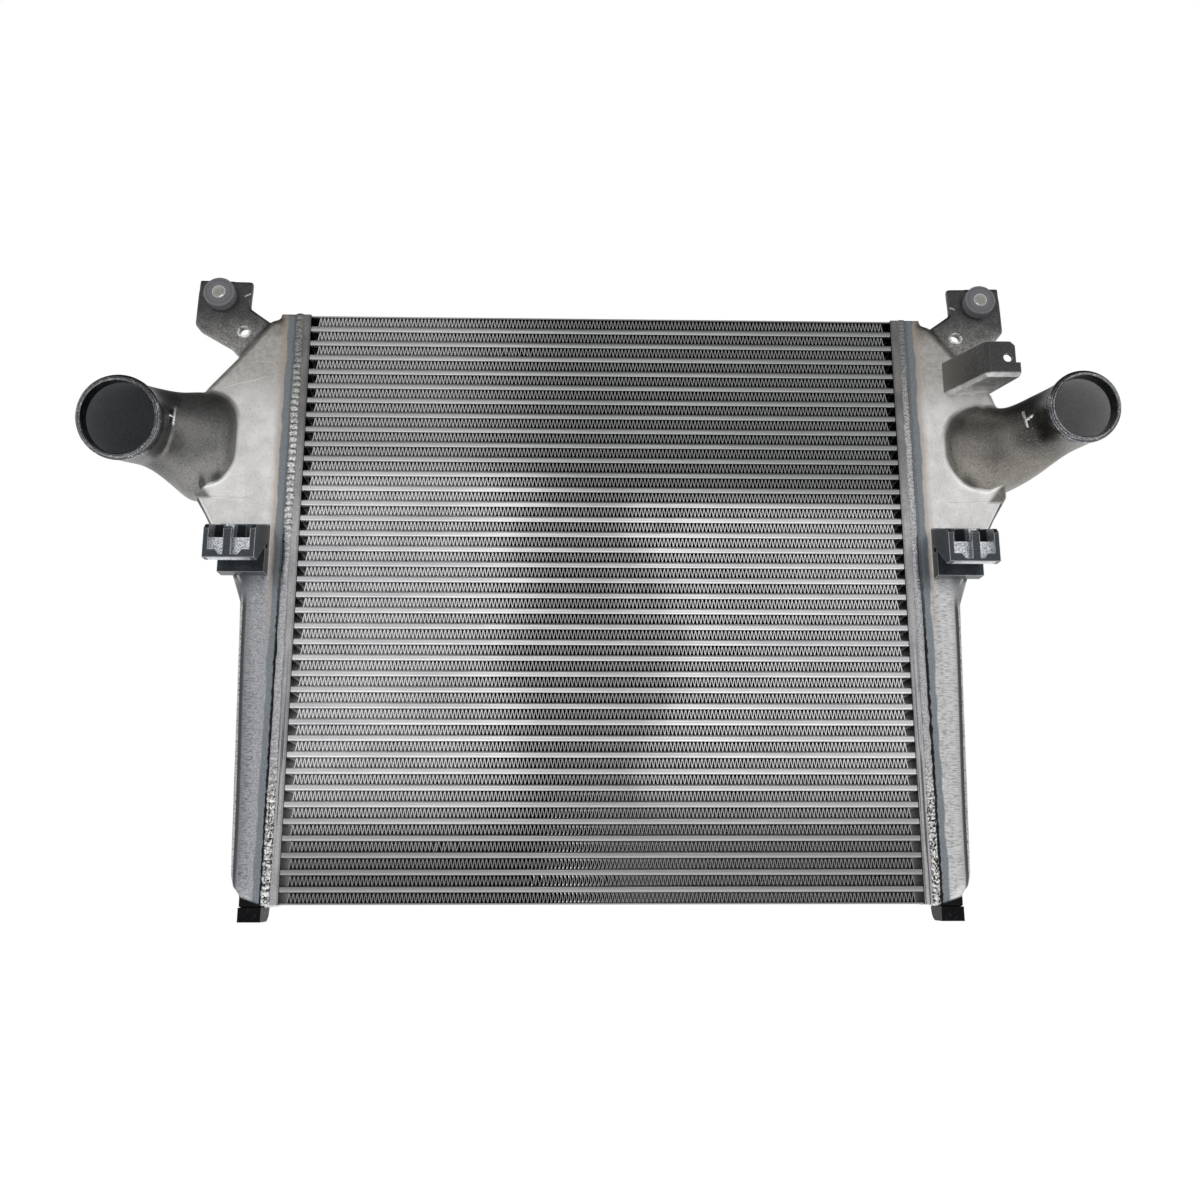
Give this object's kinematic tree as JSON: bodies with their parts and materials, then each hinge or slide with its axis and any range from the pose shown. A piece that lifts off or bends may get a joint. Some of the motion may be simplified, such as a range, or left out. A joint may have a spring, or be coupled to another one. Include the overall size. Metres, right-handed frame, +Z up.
{
  "type": "intercooler",
  "caption": "Charge-air cooler: a tube and fin core between two cast end tanks, each with a round elbow hose neck, bushed ear, pocket bracket and rubber foot.",
  "frame": {"origin": "midpoint between the two upper mounting holes, on the front faces of their bushes", "axes": "+Z up, -Y the front that the hose necks face, +X to the picture's right, along the tubes"},
  "size_m": [1.1377, 0.1606, 0.731],
  "materials": {
    "tube_aluminium": "satin",
    "fin_aluminium": "satin",
    "header_aluminium": "satin",
    "weld_silver": "rough",
    "tank_casting": "cast",
    "bracket_casting": "cast",
    "bush_polymer": "matte",
    "foot_rubber": "matte"
  },
  "bodies": {
    "root": {"core_tube_01": "tube_aluminium", "core_tube_02": "tube_aluminium", "core_tube_03": "tube_aluminium", "core_tube_04": "tube_aluminium", "core_tube_05": "tube_aluminium", "core_tube_06": "tube_aluminium", "core_tube_07": "tube_aluminium", "core_tube_08": "tube_aluminium", "core_tube_09": "tube_aluminium", "core_tube_10": "tube_aluminium", "core_tube_11": "tube_aluminium", "core_tube_12": "tube_aluminium", "core_tube_13": "tube_aluminium", "core_tube_14": "tube_aluminium", "core_tube_15": "tube_aluminium", "core_tube_16": "tube_aluminium", "core_tube_17": "tube_aluminium", "core_tube_18": "tube_aluminium", "core_tube_19": "tube_aluminium", "core_tube_20": "tube_aluminium", "core_tube_21": "tube_aluminium", "core_tube_22": "tube_aluminium", "core_tube_23": "tube_aluminium", "core_tube_24": "tube_aluminium", "core_tube_25": "tube_aluminium", "core_tube_26": "tube_aluminium", "core_tube_27": "tube_aluminium", "core_tube_28": "tube_aluminium", "core_tube_29": "tube_aluminium", "core_tube_30": "tube_aluminium", "core_tube_31": "tube_aluminium", "core_tube_32": "tube_aluminium", "core_tube_33": "tube_aluminium", "core_tube_34": "tube_aluminium", "core_tube_35": "tube_aluminium", "core_tube_36": "tube_aluminium", "core_tube_37": "tube_aluminium", "core_fins": "fin_aluminium", "side_plate_top": "tube_aluminium", "side_plate_bottom": "tube_aluminium", "header_left": "header_aluminium", "weld_bead_left": "weld_silver", "end_tank_left": "tank_casting", "pocket_bracket_left": "bracket_casting", "rubber_foot_left": "foot_rubber", "header_right": "header_aluminium", "weld_bead_right": "weld_silver", "end_tank_right": "tank_casting", "pocket_bracket_right": "bracket_casting", "rubber_foot_right": "foot_rubber", "mount_bushes": "bush_polymer", "box_bracket_right": "bracket_casting"}
  },
  "joints": []
}
